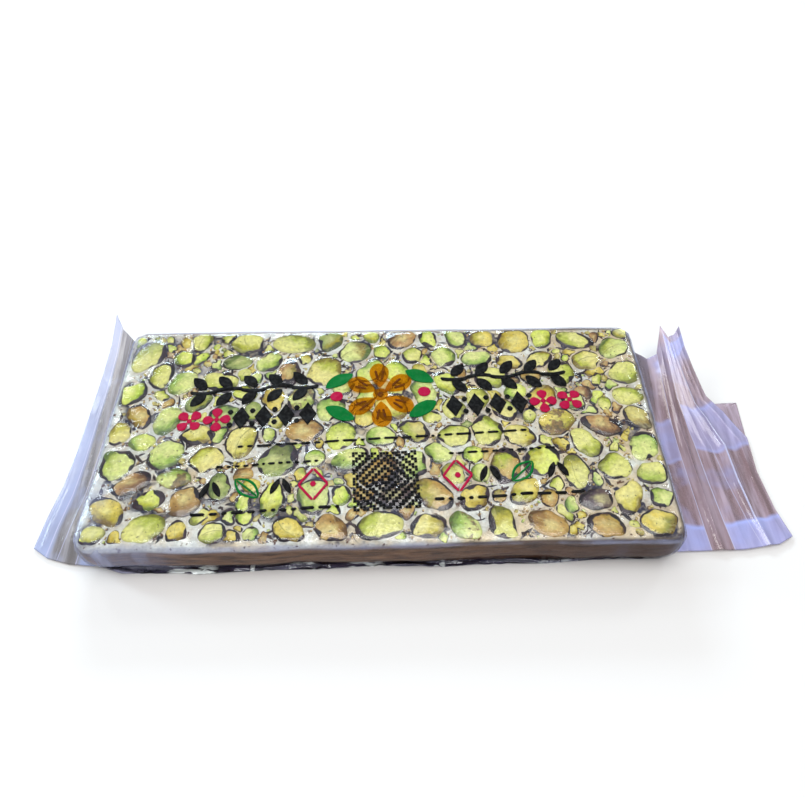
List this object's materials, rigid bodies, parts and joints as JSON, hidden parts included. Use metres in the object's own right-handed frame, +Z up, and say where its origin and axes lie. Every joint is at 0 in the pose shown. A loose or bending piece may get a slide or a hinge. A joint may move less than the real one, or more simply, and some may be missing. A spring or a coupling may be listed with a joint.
{
  "type": "nougat bar",
  "caption": "Slab of pistachio nougat sealed in a clear vacuum pouch that clings to it, with a film fin at each end.",
  "frame": {"origin": "middle of the bar's flat underside, on the surface that it lies on", "axes": "+X along the bar towards the wide fin, +Y across it towards its back side, +Z up through its thickness"},
  "size_m": [0.2345, 0.0898, 0.0204],
  "materials": {
    "film": "clear tight film, glossy",
    "nougat": "off-white, dense and slightly waxy",
    "kernel": "cut pistachio, pale yellow-green",
    "skin": "dark purple-brown nut skin",
    "print": "ink printed on the film"
  },
  "bodies": {
    "root": {"sealed_pouch": "film"}
  },
  "joints": []
}
